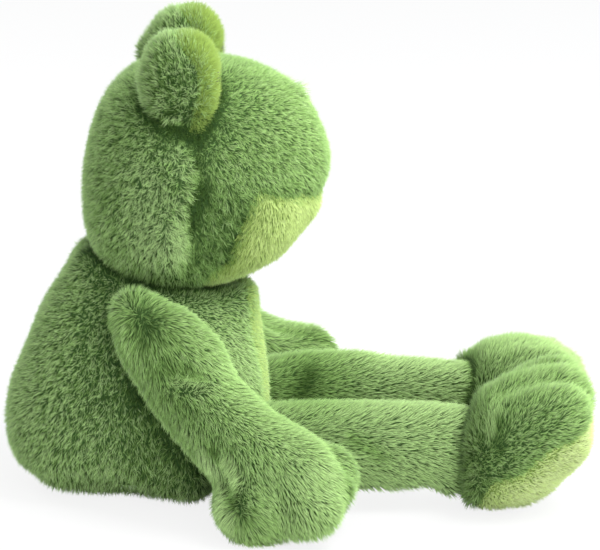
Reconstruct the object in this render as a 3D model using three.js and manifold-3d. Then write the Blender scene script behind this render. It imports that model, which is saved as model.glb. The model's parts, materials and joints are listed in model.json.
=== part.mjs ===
// Seated plush frog at life size, in millimetres, with +Z up.
// It faces -Y and its right side is at -X. In a side view a point is written as
// (ahead, up): ahead grows toward the toes, so y is minus ahead.

import * as THREE from "three";
import { ParametricGeometry } from "three/addons/geometries/ParametricGeometry.js";
import { mergeVertices } from "three/addons/utils/BufferGeometryUtils.js";
import Module from "manifold-3d";

const wasm = await Module();
wasm.setup();

// Fabric, seams and clearances
const skinThickness = 4;
const seamGap = 0.5;
const jointGap = 0.5;
const floorCut = 0.5;
const overrun = 400;
const mergeDistance = 0.001;

// Body: depth along the side view, width across, height to the neck
const bodyDepth = 165;
const bodyWidth = 154;
const bodyHeight = 150;
const bodyBack = -183;
const pelletDepth = 26;

// Head: it sinks into the top of the body
const headDepth = 148;
const headWidth = 152;
const headHeight = 146;
const headFromBodyBack = 49;
const headSink = 26;
const headBack = bodyBack + headFromBodyBack;
const headBase = bodyHeight - headSink;

// Neck: the head's round underside turns in a cup in the top of the body, about this joint
const neckFromHeadBack = 50;
const neckAboveBase = 36;
const neckAhead = headBack + neckFromHeadBack;
const neckUp = headBase + neckAboveBase;
const neckDownAngle = 10;
const neckUpAngle = 15;

// Eye mounds on the top corners of the head
const moundDepth = 51;
const moundHeight = 63;
const moundWidth = 48;
const moundAside = 50;
const moundFromHeadBack = 63;
const moundBelowCrown = 8;
const moundAhead = headBack + moundFromHeadBack;
const moundUp = headBase + headHeight - moundBelowCrown;

// Plastic eyes: a dome with a stem, held by a washer behind the fabric
const eyeRadius = 7;
const eyeBulge = 3.2;
const stemRadius = 2.2;
const stemLength = 13;
const washerRadius = 7;
const washerThickness = 1.5;

// Arms: a sleeve from the shoulder to the hand on the floor
const armDepth = 53;
const armWidth = 50;
const shoulderAside = 68;
const shoulderFromBodyBack = 85;
const shoulderBelowNeck = 28;
const shoulderAhead = bodyBack + shoulderFromBodyBack;
const shoulderUp = bodyHeight - shoulderBelowNeck;
const wristAside = 113;
const wristReach = 68;
const wristAhead = shoulderAhead + wristReach;
const wristUp = 44;
const armForwardAngle = 95;
const armBackAngle = 15;
const armRootRadius = 13;
const armRootDepth = 20;
const handAside = 120;
const handReach = 28;
const handAhead = wristAhead + handReach;
const handDepth = 66;
const handWidth = 60;
const knuckleReach = 24;
const knuckleAhead = handAhead + knuckleReach;
const fingerLength = 42;
const fingerWidth = 30;
const fingerDepth = 40;
const fingerLean = 90;
const palmHeelReach = 22;
const palmHeelAhead = handAhead - palmHeelReach;
const palmHeelLength = 52;
const palmHeelDepth = 48;

// Legs: a straight tube from the hip to the ankle
const legDiameter = 54;
const legWidth = 50;
const legAside = 54;
const legLength = 142;
const hipFromBodyBack = 139;
const hipAhead = bodyBack + hipFromBodyBack;
const hipUp = 35;
const ankleAhead = hipAhead + legLength;
const ankleUp = 38;
const legDownAngle = 55;
const legUpAngle = 25;
const legRootRadius = 12;
const legRootDepth = 13;
const rightFootAngles = { down: 15, up: 15 };
const leftFootAngles = { down: 5, up: 25 };

// Feet: a round mitt with three toes, its sole facing ahead
const footLength = 94;
const footWidth = 88;
const footDepth = 85;
const heelBehindAnkle = 7;
const footBack = ankleAhead - heelBehindAnkle;
const footAside = 62;
const leftFootLean = 15;
const toeWidth = 34;
const toeLength = 50;
const toeDepth = 40;
const toeLean = 33;

// Outlines as shares of the sizes above, in rows of
// [back ahead, back up, front ahead, front up, width], from the bottom to the top
const bodyShares = [
  [0.12, -0.0035, 0.84, -0.0035, 0.74],
  [0.045, 0.03, 0.93, 0.03, 0.9],
  [0.0, 0.19, 0.99, 0.2, 1.0],
  [0.02, 0.4, 1.0, 0.36, 1.0],
  [0.09, 0.61, 0.985, 0.54, 0.92],
  [0.175, 0.79, 0.955, 0.71, 0.8],
  [0.28, 0.98, 0.88, 0.84, 0.62],
  [0.37, 1.08, 0.79, 0.97, 0.46],
];
const headShares = [
  [0.135, 0.0, 0.405, -0.07, 0.4],
  [0.02, 0.18, 0.59, 0.02, 0.66],
  [0.0, 0.36, 0.8, 0.11, 0.88],
  [0.0, 0.49, 0.926, 0.25, 0.97],
  [0.02, 0.625, 0.993, 0.425, 1.0],
  [0.065, 0.78, 1.01, 0.616, 0.92],
  [0.14, 0.91, 0.945, 0.81, 0.76],
  [0.26, 1.0, 0.77, 0.96, 0.48],
];
const footShares = [
  [0.01, 0.13, 0.26, 0.0, 0.56],
  [0.01, 0.38, 0.5, 0.085, 0.8],
  [0.085, 0.7, 0.745, 0.22, 0.94],
  [0.305, 0.89, 0.89, 0.4, 1.0],
  [0.55, 0.98, 0.99, 0.64, 0.98],
  [0.77, 1.0, 1.0, 0.85, 0.84],
];

// Seams in side view as shares of the depth and height of their part, from the top down
const bellySeamShares = [
  [0.78, 1.1], [0.86, 0.86], [0.918, 0.75], [0.954, 0.64], [0.976, 0.5], [0.986, 0.34], [0.976, 0.2], [0.91, 0.06],
  [0.78, -0.2],
];
const cheekSeamShares = [
  [0.42, 1.2], [0.46, 0.94], [0.5, 0.72], [0.5, 0.62], [0.48, 0.5], [0.45, 0.3], [0.42, -0.3],
];
const chinSeamShares = [
  [1.2, 0.37], [0.99, 0.4], [0.75, 0.48], [0.71, 0.36], [0.67, 0.26], [0.63, 0.16], [0.53, 0.05], [0.5, -0.3],
];
const moundSeamShares = [
  [-0.02, 0.6], [0.1, 0.42], [0.3, 0.2], [0.36, 0.02], [0.32, -0.2], [0.25, -0.45], [0.2, -0.7],
];
const soleSeamShares = [[1.3, 0.66], [0.92, 0.59], [0.72, 0.47], [0.54, 0.3], [0.34, 0.23], [0.2, -0.2]];

// The sleeve in rows of [share of the way from shoulder to wrist, depth share, width share],
// then the same for the leg between the hip and the ankle
const sleeveShares = [
  [-0.26, 0.9, 0.84],
  [0.12, 1.0, 0.96],
  [0.46, 1.02, 1.0],
  [0.8, 1.06, 1.04],
];
const thighFullShare = 1.05;
const legEndShare = legDiameter / 2 / (ankleAhead - hipAhead);
const legShares = [
  [-legEndShare, 1, 1.02],
  [0.33, thighFullShare, 1.02],
  [0.67, 1, 1],
  [1 + legEndShare, 0.94, 0.98],
];
// How much of the leg's half width its rounded end still has where it goes into the foot
const ankleFitShare = 0.89;

// Fingers and toes from the inner to the outer one: how far aside in widths of their own,
// and how far ahead and up as shares of their length and depth
const fingerShares = [[-0.66, -0.2, 0.34], [0, -0.2, 0.16], [0.66, -0.4, 0]];
const toeShares = [[-0.84, -0.03, 0.03], [0, 0.04, 0.04], [0.84, -0.03, -0.03]];
const toeMiddleShares = [0.72, 0.72];

// How full the ends of a form are, and how square its cross-section is
const trunkFullness = 5;
const limbFullness = 3;
const tubeFullness = 4;
const moundFullness = 2.4;
const ballFullness = 2;
const trunkSquareness = 0.82;
const limbSquareness = 0.92;
const moundSquareness = 0.75;

function degrees(angle) {
  return THREE.MathUtils.degToRad(angle);
}

// A closed, merged mesh from any geometry, without the slivers at its poles
function closedGeometry(geometry) {
  geometry.deleteAttribute("normal");
  geometry.deleteAttribute("uv");
  const merged = mergeVertices(geometry, mergeDistance);
  const corners = merged.index.array;
  const kept = [];
  for (let i = 0; i < corners.length; i += 3) {
    const [a, b, c] = corners.slice(i, i + 3);
    if (a !== b && b !== c && c !== a) kept.push(a, b, c);
  }
  merged.setIndex(kept);
  return merged;
}

function solidOf(geometry) {
  const closed = closedGeometry(geometry);
  const vertProperties = Float32Array.from(closed.attributes.position.array);
  const triVerts = Uint32Array.from(closed.index.array);
  return new wasm.Manifold(new wasm.Mesh({ numProp: 3, vertProperties, triVerts }));
}

function geometryOf(solid) {
  const mesh = solid.getMesh();
  const geometry = new THREE.BufferGeometry();
  geometry.setAttribute("position", new THREE.BufferAttribute(mesh.vertProperties, 3));
  geometry.setIndex(new THREE.BufferAttribute(mesh.triVerts, 1));
  return geometry;
}

function mirroredGeometry(geometry) {
  const mirrored = geometry.clone().scale(-1, 1, 1);
  const corners = mirrored.index.array;
  for (let i = 0; i < corners.length; i += 3) {
    [corners[i], corners[i + 1]] = [corners[i + 1], corners[i]];
  }
  return mirrored;
}

function mirrored(solid) {
  return solidOf(mirroredGeometry(geometryOf(solid)));
}

// A stuffed form through its sections: each has a back and a front point in side view,
// a place aside and a half width; the ends close round
function stuffedForm(sections, { sides, rows, fullness, squareness }, inset = 0) {
  const backs = new THREE.CatmullRomCurve3(sections.map((s) => new THREE.Vector3(s.aside, -s.back.x, s.back.y)));
  const fronts = new THREE.CatmullRomCurve3(sections.map((s) => new THREE.Vector3(s.aside, -s.front.x, s.front.y)));
  const widths = new THREE.CatmullRomCurve3(sections.map((s) => new THREE.Vector3(s.halfWidth, 0, 0)));
  const rounded = (value) => Math.sign(value) * Math.abs(value) ** squareness;
  const surface = (u, v, target) => {
    const along = (1 - Math.cos(Math.PI * v)) / 2;
    const closing = (1 - Math.abs(2 * along - 1) ** fullness) ** (1 / fullness);
    const back = backs.getPoint(along);
    const front = fronts.getPoint(along);
    const turn = 2 * Math.PI * u;
    const reach = front.clone().sub(back).multiplyScalar((closing * rounded(Math.cos(turn))) / 2);
    target.copy(back).lerp(front, 0.5).add(reach);
    target.x += widths.getPoint(along).x * closing * rounded(Math.sin(turn));
  };
  const geometry = closedGeometry(new ParametricGeometry(surface, sides, rows));
  if (inset === 0) return geometry;
  geometry.computeVertexNormals();
  const { position, normal } = geometry.attributes;
  for (let i = 0; i < position.count; i++) {
    position.setX(i, position.getX(i) - normal.getX(i) * inset);
    position.setY(i, position.getY(i) - normal.getY(i) * inset);
    position.setZ(i, position.getZ(i) - normal.getZ(i) * inset);
  }
  geometry.deleteAttribute("normal");
  return geometry;
}

function sectionsFrom(shares, back, base, depth, height, width, aside = 0) {
  const place = (aheadShare, upShare) => new THREE.Vector2(back + aheadShare * depth, base + upShare * height);
  return shares.map(([backAhead, backUp, frontAhead, frontUp, widthShare]) => ({
    aside,
    back: place(backAhead, backUp),
    front: place(frontAhead, frontUp),
    halfWidth: (widthShare * width) / 2,
  }));
}

// Sections square to a spine whose points hold aside, ahead, up, depth and width
function sectionsAlong(spine) {
  return spine.map((point, i) => {
    const before = spine[Math.max(i - 1, 0)];
    const after = spine[Math.min(i + 1, spine.length - 1)];
    const along = new THREE.Vector2(after.ahead - before.ahead, after.up - before.up).normalize();
    const reach = new THREE.Vector2(along.y, -along.x).multiplyScalar(point.depth / 2);
    const middle = new THREE.Vector2(point.ahead, point.up);
    return {
      aside: point.aside,
      back: middle.clone().sub(reach),
      front: middle.clone().add(reach),
      halfWidth: point.width / 2,
    };
  });
}

// Extruded regions: a side region reaches across X, a front region reaches along Y
const sideBasis = new THREE.Matrix4().makeBasis(
  new THREE.Vector3(0, -1, 0), new THREE.Vector3(0, 0, 1), new THREE.Vector3(-1, 0, 0));
const frontBasis = new THREE.Matrix4().makeBasis(
  new THREE.Vector3(1, 0, 0), new THREE.Vector3(0, 0, 1), new THREE.Vector3(0, -1, 0));

function extruded(points, length, basis) {
  const shape = new THREE.Shape(points.map((p) => new THREE.Vector2(p.x, p.y)));
  const geometry = new THREE.ExtrudeGeometry(shape, { depth: length, bevelEnabled: false });
  return geometry.translate(0, 0, -length / 2).applyMatrix4(basis);
}

// The region past a seam that runs from the top down, grown by an amount
function pastSeam(seam, basis, grown) {
  const moved = seam.map((point, i) => {
    const before = seam[Math.max(i - 1, 0)];
    const after = seam[Math.min(i + 1, seam.length - 1)];
    const along = new THREE.Vector2().subVectors(after, before).normalize();
    return new THREE.Vector2(point.x + along.y * grown, point.y - along.x * grown);
  });
  const top = moved[0].y;
  const bottom = moved[moved.length - 1].y;
  const corners = [new THREE.Vector2(overrun, bottom), new THREE.Vector2(overrun, top)];
  return solidOf(extruded([...moved, ...corners], 2 * overrun, basis));
}

// Two panels that meet at a seam: the one past it and the one before it
function parted(solid, seam, basis) {
  const past = solid.intersect(pastSeam(seam, basis, -seamGap / 2));
  const before = solid.subtract(pastSeam(seam, basis, seamGap / 2));
  return [past, before];
}

function seamFrom(shares, back, base, depth, height) {
  return shares.map(([ahead, up]) => new THREE.Vector2(back + ahead * depth, base + up * height));
}

const middleSeam = [new THREE.Vector2(0, overrun), new THREE.Vector2(0, -overrun)];

// Everything above a height
function level(up) {
  return solidOf(new THREE.BoxGeometry(2 * overrun, 2 * overrun, overrun).translate(0, 0, up + overrun / 2));
}

// The skin, and the stuffing that fills it, of a shape built at any inset
function stuffed(build) {
  const hollow = build(skinThickness).intersect(level(skinThickness));
  const skin = build(0).intersect(level(0)).subtract(hollow);
  const filling = build(skinThickness + 2 * seamGap).intersect(level(skinThickness + seamGap));
  return { skin, filling };
}

// The room that a leg sweeps around its joint, in side view, between two directions
function sweptBay(joint, from, to, radius, halfWidth) {
  const middle = new THREE.Vector2(joint.ahead, joint.up);
  const toward = (angle, length) =>
    middle.clone().add(new THREE.Vector2(Math.cos(degrees(angle)), Math.sin(degrees(angle))).multiplyScalar(length));
  const rightAngle = 90;
  const arcSteps = 14;
  const points = [];
  const first = to + rightAngle;
  const last = from - rightAngle + 4 * rightAngle;
  for (let i = 0; i <= arcSteps; i++) points.push(toward(first + ((last - first) * i) / arcSteps, radius));
  const reach = 2 * footLength;
  const lower = toward(from, reach).add(toward(from - rightAngle, radius).sub(middle));
  const upper = toward(to, reach).add(toward(to + rightAngle, radius).sub(middle));
  const outline = [...points, lower, toward((from + to) / 2, 2 * reach), upper];
  return solidOf(extruded(outline, 2 * halfWidth, sideBasis).translate(joint.aside, 0, 0));
}

// Materials
const plush = { roughness: 0.95, metalness: 0 };
const greenFur = new THREE.MeshStandardMaterial({ color: 0x6a9e55, ...plush });
const limeFur = new THREE.MeshStandardMaterial({ color: 0xb6d27a, ...plush });
const stuffingFibre = new THREE.MeshStandardMaterial({ color: 0xf2f0ea, ...plush });
const pelletCloth = new THREE.MeshStandardMaterial({ color: 0xd9d5c8, ...plush });
const blackPlastic = new THREE.MeshStandardMaterial({ color: 0x0c0c0d, roughness: 0.12, metalness: 0 });
const washerPlastic = new THREE.MeshStandardMaterial({ color: 0xe6e6e2, roughness: 0.5, metalness: 0 });

function node(name, solid, material) {
  const mesh = new THREE.Mesh(solid.isBufferGeometry ? solid : geometryOf(solid), material);
  mesh.name = name;
  return mesh;
}

// A right-hand piece and its mirror image
function pair(name, solid, material) {
  return [
    node(`${name}_right`, solid, material),
    node(`${name}_left`, mirroredGeometry(geometryOf(solid)), material),
  ];
}

// How finely the forms are made
const trunk = { sides: 22, rows: 13, fullness: trunkFullness, squareness: trunkSquareness };
const trunkInner = { ...trunk, sides: 14, rows: 8 };
const mound = { sides: 16, rows: 8, fullness: moundFullness, squareness: moundSquareness };
const moundInner = { ...mound, sides: 12, rows: 6 };
const limb = { sides: 12, rows: 10, fullness: limbFullness, squareness: limbSquareness };
const limbInner = { ...limb, sides: 8, rows: 7 };
const tube = { ...limb, fullness: tubeFullness };
const tubeInner = { ...limbInner, fullness: tubeFullness };
const digit = { sides: 8, rows: 6, fullness: ballFullness, squareness: 1 };
const digitInner = { ...digit, sides: 6, rows: 4 };
const rootSides = 16;
const finish = (fine, coarse, inset) => (inset > 0 ? coarse : fine);

// Forms
const bodySections = sectionsFrom(bodyShares, bodyBack, 0, bodyDepth, bodyHeight, bodyWidth);
const headSections = sectionsFrom(headShares, headBack, headBase, headDepth, headHeight, headWidth);
const footSections = sectionsFrom(
  footShares, footBack, 0, footDepth, footLength, footWidth, -footAside);
const bodyForm = (inset) => stuffedForm(bodySections, finish(trunk, trunkInner, inset), inset);
const headForm = (inset) => stuffedForm(headSections, finish(trunk, trunkInner, inset), inset);

function onWay(start, end, share) {
  const between = (a, b) => a + (b - a) * share;
  return {
    aside: between(start.aside, end.aside),
    ahead: between(start.ahead, end.ahead),
    up: between(start.up, end.up),
  };
}

// An upright or leaning round form about a middle point
function roundForm(middle, length, depth, width, lean, inset) {
  const run = new THREE.Vector2(0, length / 2).rotateAround(new THREE.Vector2(), -degrees(lean));
  const end = (sign) => ({
    aside: middle.aside, ahead: middle.ahead + sign * run.x, up: middle.up + sign * run.y, depth, width,
  });
  return solidOf(stuffedForm(sectionsAlong([end(-1), end(1)]), finish(digit, digitInner, inset), inset));
}

const shoulder = { aside: -shoulderAside, ahead: shoulderAhead, up: shoulderUp };
const wrist = { aside: -wristAside, ahead: wristAhead, up: wristUp };
const palmUp = handDepth / 2 - floorCut;
const armSpine = [
  ...sleeveShares.map(([way, depthShare, widthShare]) => ({
    ...onWay(shoulder, wrist, way), depth: depthShare * armDepth, width: widthShare * armWidth,
  })),
  { aside: -handAside, ahead: handAhead, up: palmUp, depth: handDepth, width: handWidth },
  {
    aside: -handAside, ahead: knuckleAhead, up: (palmUp + fingerDepth / 2) / 2,
    depth: (handDepth + fingerDepth) / 2, width: handWidth,
  },
];

function armForm(inset) {
  let form = solidOf(stuffedForm(sectionsAlong(armSpine), finish(limb, limbInner, inset), inset));
  for (const [asideShare, aheadShare, upShare] of fingerShares) {
    const middle = {
      aside: -handAside - asideShare * fingerWidth,
      ahead: knuckleAhead + aheadShare * fingerLength,
      up: fingerDepth / 2 + upShare * fingerDepth - floorCut,
    };
    form = form.add(roundForm(middle, fingerLength, fingerDepth, fingerWidth, fingerLean, inset));
  }
  const palmHeel = { aside: -handAside, ahead: palmHeelAhead, up: palmHeelDepth / 2 - floorCut };
  return form.add(roundForm(palmHeel, palmHeelLength, palmHeelDepth, handWidth, fingerLean, inset));
}

const hip = { aside: -legAside, ahead: hipAhead, up: hipUp };
const ankle = { aside: -legAside, ahead: ankleAhead, up: ankleUp };
const legSpine = legShares.map(([way, depthShare, widthShare]) => ({
  ...onWay(hip, ankle, way), depth: depthShare * legDiameter, width: widthShare * legWidth,
}));
const legForm = (inset) => stuffedForm(sectionsAlong(legSpine), finish(tube, tubeInner, inset), inset);
const legRoom = thighFullShare * (legDiameter / 2) + jointGap;
const legSideRoom = legShares[0][2] * (legWidth / 2) + jointGap;
const ankleSideRoom = ankleFitShare * (legWidth / 2) + jointGap;
const straightBack = 180;

// A geometry turned about a joint across the body; a positive angle lifts what points ahead
function turned(geometry, joint, angle) {
  return geometry.clone().translate(0, joint.ahead, -joint.up).rotateX(-degrees(angle))
    .translate(0, -joint.ahead, joint.up);
}

function footForm(inset) {
  let form = solidOf(stuffedForm(footSections, finish(limb, limbInner, inset), inset));
  for (const [asideShare, aheadShare, upShare] of toeShares) {
    const middle = {
      aside: -footAside - asideShare * toeWidth,
      ahead: footBack + toeMiddleShares[0] * footDepth + aheadShare * toeLength,
      up: toeMiddleShares[1] * footLength + upShare * toeLength,
    };
    form = form.add(roundForm(middle, toeLength, toeDepth, toeWidth, toeLean, inset));
  }
  return form;
}

// The widest reach of the trunk and the legs in the arm's path around the shoulder,
// as one round solid: the arm keeps outside it and so swings clear
function shoulderClearance(inset) {
  const reach = knuckleAhead + fingerLength - shoulderAhead;
  const rings = 10;
  const step = reach / rings;
  const widest = new Array(rings + 1).fill(0);
  const rest = THREE.MathUtils.radToDeg(Math.atan2(wristUp - shoulderUp, wristAhead - shoulderAhead));
  const middle = degrees(rest + (armForwardAngle - armBackAngle) / 2);
  const halfSweep = degrees((armForwardAngle + armBackAngle) / 2);
  const legs = [-legDownAngle, 0, legUpAngle].map((angle) => turned(legForm(-jointGap), hip, angle));
  for (const geometry of [bodyForm(-jointGap), headForm(-jointGap), ...legs]) {
    const { position } = geometry.attributes;
    for (let i = 0; i < position.count; i++) {
      const ahead = -position.getY(i) - shoulder.ahead;
      const up = position.getZ(i) - shoulder.up;
      const radius = Math.hypot(ahead, up);
      const turn = Math.abs(Math.atan2(up, ahead) - middle);
      const past = Math.max(Math.min(turn, 2 * Math.PI - turn) - halfSweep, 0);
      if (radius * Math.sin(Math.min(past, Math.PI / 2)) > armDepth) continue;
      const ring = Math.round(radius / step);
      for (const near of [ring - 1, ring, ring + 1]) {
        if (near >= 0 && near <= rings) widest[near] = Math.max(widest[near], Math.abs(position.getX(i)));
      }
    }
  }
  const slope = widest.map((width, ring) => new THREE.Vector2(ring * step, width + inset)).reverse();
  const profile = [new THREE.Vector2(0, 0), new THREE.Vector2(reach, 0), ...slope];
  return solidOf(new THREE.LatheGeometry(profile, trunkInner.sides).rotateZ(degrees(90))
    .translate(0, -shoulder.ahead, shoulder.up));
}

// The round root of a limb, sewn into the body around the limb's axis, from one place
// aside to another
function limbRoot(joint, radius, outer, inner, inset) {
  const length = inner - outer - inset;
  return solidOf(new THREE.CylinderGeometry(radius - inset, radius - inset, length, rootSides)
    .rotateZ(degrees(90)).translate(outer + length / 2, -joint.ahead, joint.up));
}
const armRoot = (inset) => limbRoot(
  shoulder, armRootRadius, shoulder.aside - armWidth / 4, shoulder.aside + armRootDepth, inset);
const legRoot = (inset) => limbRoot(
  hip, legRootRadius, hip.aside, hip.aside + legWidth / 2 + legRootDepth, inset);

// Head: skin panels, the stuffing and the eye mounds
const neck = { aside: 0, ahead: neckAhead, up: neckUp };
const head = stuffed((inset) => solidOf(headForm(inset)));
const headSeam = (shares) => seamFrom(shares, headBack, headBase, headDepth, headHeight);
const [faceAndChin, headBackSkin] = parted(head.skin, headSeam(cheekSeamShares), sideBasis);
const [chinSkin, faceSkin] = parted(faceAndChin, headSeam(chinSeamShares), sideBasis);
const [headBackLeft, headBackRight] = parted(headBackSkin, middleSeam, frontBasis);

const moundSections = [-moundHeight / 2, moundHeight / 2].map((rise) => ({
  aside: -moundAside,
  back: new THREE.Vector2(moundAhead - moundDepth / 2, moundUp + rise),
  front: new THREE.Vector2(moundAhead + moundDepth / 2, moundUp + rise),
  halfWidth: moundWidth / 2,
}));
const aroundHead = solidOf(headForm(-seamGap));
const eyeMound = stuffed((inset) => solidOf(stuffedForm(moundSections, finish(mound, moundInner, inset), inset)));
const moundSkin = eyeMound.skin.subtract(aroundHead);
const moundFilling = eyeMound.filling.subtract(aroundHead);
const moundSeam = seamFrom(moundSeamShares, moundAhead, moundUp, moundDepth, moundHeight);
const [moundFront, moundBack] = parted(moundSkin, moundSeam, sideBasis);

// Eyes: turned parts whose axis points ahead out of the mound
function eyePart(profile, seat) {
  const points = profile.map(([radius, out]) => new THREE.Vector2(radius, out));
  const sides = 14;
  return new THREE.LatheGeometry(points, sides).rotateX(degrees(180))
    .translate(-moundAside, -(moundAhead + seat), moundUp);
}
const eyeSeat = moundDepth / 2 + seamGap;
const innerReach = moundDepth / 2 - skinThickness;
const innerWidth = moundWidth / 2 - skinThickness;
const washerSeat = innerReach * Math.sqrt(1 - (washerRadius / innerWidth) ** 2) - 2 * seamGap;

function eyeProfile() {
  const steps = 4;
  const dome = [];
  for (let i = steps; i >= 0; i--) {
    const turn = (Math.PI / 2) * (i / steps);
    dome.push([eyeRadius * Math.cos(turn), eyeBulge * Math.sin(turn)]);
  }
  dome[0][0] = 0;
  return [[0, -stemLength], [stemRadius, -stemLength], [stemRadius, 0], ...dome.reverse()];
}

function ringProfile(inner, outer, from, to) {
  return [[inner, from], [outer, from], [outer, to], [inner, to], [inner, from]];
}

function plugProfile(radius, from, to) {
  return [[0, from], [radius, from], [radius, to], [0, to]];
}

const stemHole = solidOf(eyePart(plugProfile(stemRadius + seamGap, -2 * stemLength, stemLength), eyeSeat));
const stemPocket = solidOf(eyePart(plugProfile(stemRadius + seamGap, -stemLength - seamGap, 0), eyeSeat));
const washerPocket = solidOf(
  eyePart(plugProfile(washerRadius + seamGap, -washerThickness - seamGap, skinThickness), washerSeat));
const faceAroundWashers = faceSkin.subtract(washerPocket).subtract(mirrored(washerPocket));

// Body: the larger form, cut by the neck cup, the chin's sweep and the two leg bays
const neckTurns = [-neckDownAngle, -neckDownAngle / 2, 0, neckUpAngle / 2, neckUpAngle];
const headSweep = (form, turns) => turns.map((angle) => solidOf(turned(form, neck, angle)))
  .reduce((all, one) => all.add(one));
const neckCup = headSweep(headForm(-jointGap), neckTurns);
const wideHead = stuffedForm(headSections, trunkInner, -skinThickness);
const wideCup = headSweep(wideHead, [neckTurns[0], 0, neckTurns[4]]);
const legBay = sweptBay(hip, -legDownAngle, legUpAngle, legRoom, legSideRoom);
const rightCuts = legBay.add(armRoot(-jointGap)).add(legRoot(-jointGap));
const sideCuts = rightCuts.add(mirrored(rightCuts));
const body = stuffed((inset) => solidOf(bodyForm(inset)));
const bodySkin = body.skin.subtract(neckCup).subtract(sideCuts);
const bodyFilling = body.filling.subtract(wideCup).subtract(sideCuts);
const bellySeam = seamFrom(bellySeamShares, bodyBack, 0, bodyDepth, bodyHeight);
const [bellySkin, backSkin] = parted(bodySkin, bellySeam, sideBasis);
const [backLeft, backRight] = parted(backSkin, middleSeam, frontBasis);
const pelletTop = skinThickness + pelletDepth;
const pellets = bodyFilling.subtract(level(pelletTop));
const bodyFibre = bodyFilling.intersect(level(pelletTop + seamGap));

// Arms: two skin panels that meet along the spine, around the stuffing
const arm = stuffed((inset) => armForm(inset).subtract(shoulderClearance(inset)).add(armRoot(inset)));
const armSeam = [
  new THREE.Vector2(armSpine[0].aside + armWidth / 4, overrun),
  ...armSpine.map((point) => new THREE.Vector2(point.aside - armWidth / 8, point.up)),
  new THREE.Vector2(-handAside - armWidth / 8, -overrun),
];
const [armInner, armOuter] = parted(arm.skin, armSeam, frontBasis);

// Legs: a sleeve open at the hip, where it is sewn on, around the stuffing
const leg = stuffed((inset) => solidOf(legForm(inset)).add(legRoot(inset)));
const hipOpening = solidOf(extruded([
  new THREE.Vector2(-overrun, overrun),
  new THREE.Vector2(-overrun, -overrun),
  new THREE.Vector2(hipAhead - legDiameter / 4, -overrun),
  new THREE.Vector2(hipAhead - legDiameter / 4, overrun),
], 2 * overrun, sideBasis));
const legSleeve = leg.skin.subtract(hipOpening);

// A foot with its toes let down by an angle, standing on its heel: a top and a sole
// around the stuffing, open where the ankle turns
function footPieces(lean, angles) {
  const leaning = turned(geometryOf(footForm(0)), ankle, -lean);
  leaning.computeBoundingBox();
  const rise = -floorCut - leaning.boundingBox.min.z;
  const placed = (solid) => solidOf(turned(geometryOf(solid), ankle, -lean).translate(0, 0, rise));
  const foot = stuffed((inset) => placed(footForm(inset)));
  const bay = sweptBay(ankle, straightBack - angles.up, straightBack + angles.down, legRoom, ankleSideRoom);
  const seam = seamFrom(soleSeamShares, footBack, 0, footDepth, footLength).map((point) =>
    point.rotateAround(new THREE.Vector2(ankle.ahead, ankle.up), -degrees(lean)).add(new THREE.Vector2(0, rise)));
  const [sole, top] = parted(foot.skin.subtract(bay), seam, sideBasis);
  return { sole, top, filling: foot.filling.subtract(bay) };
}
const rightFoot = footPieces(0, rightFootAngles);
const leftFoot = footPieces(leftFootLean, leftFootAngles);

const bodyGroup = new THREE.Group();
bodyGroup.add(
  node("body_back_left", backLeft, greenFur),
  node("body_back_right", backRight, greenFur),
  node("belly_panel", bellySkin, limeFur),
  node("body_stuffing", bodyFibre, stuffingFibre),
  node("seat_pellet_bag", pellets, pelletCloth),
);

const headGroup = new THREE.Group();
headGroup.add(
  node("head_back_left", headBackLeft, greenFur),
  node("head_back_right", headBackRight, greenFur),
  node("face_panel", faceAroundWashers, greenFur),
  node("chin_panel", chinSkin, limeFur),
  node("head_stuffing", head.filling, stuffingFibre),
  ...pair("eye_mound_back", moundBack, greenFur),
  ...pair("eye_mound_front", moundFront.subtract(stemHole), limeFur),
  ...pair("eye_mound_stuffing", moundFilling.subtract(washerPocket).subtract(stemPocket), stuffingFibre),
  ...pair("eye", solidOf(eyePart(eyeProfile(), eyeSeat)), blackPlastic),
  ...pair("eye_washer", solidOf(eyePart(
    ringProfile(stemRadius + seamGap / 2, washerRadius, -washerThickness, 0), washerSeat)), washerPlastic),
);

const limbGroup = new THREE.Group();
limbGroup.add(
  ...pair("arm_outer", armOuter, greenFur),
  ...pair("arm_inner", armInner, greenFur),
  ...pair("arm_stuffing", arm.filling, stuffingFibre),
  ...pair("leg_sleeve", legSleeve, greenFur),
  ...pair("leg_stuffing", leg.filling, stuffingFibre),
  node("foot_top_right", rightFoot.top, greenFur),
  node("foot_sole_right", rightFoot.sole, limeFur),
  node("foot_stuffing_right", rightFoot.filling, stuffingFibre),
  node("foot_top_left", mirrored(leftFoot.top), greenFur),
  node("foot_sole_left", mirrored(leftFoot.sole), limeFur),
  node("foot_stuffing_left", mirrored(leftFoot.filling), stuffingFibre),
);

const frog = new THREE.Group();
frog.add(bodyGroup, headGroup, limbGroup);
export default frog;
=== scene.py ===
import json
import math

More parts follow.
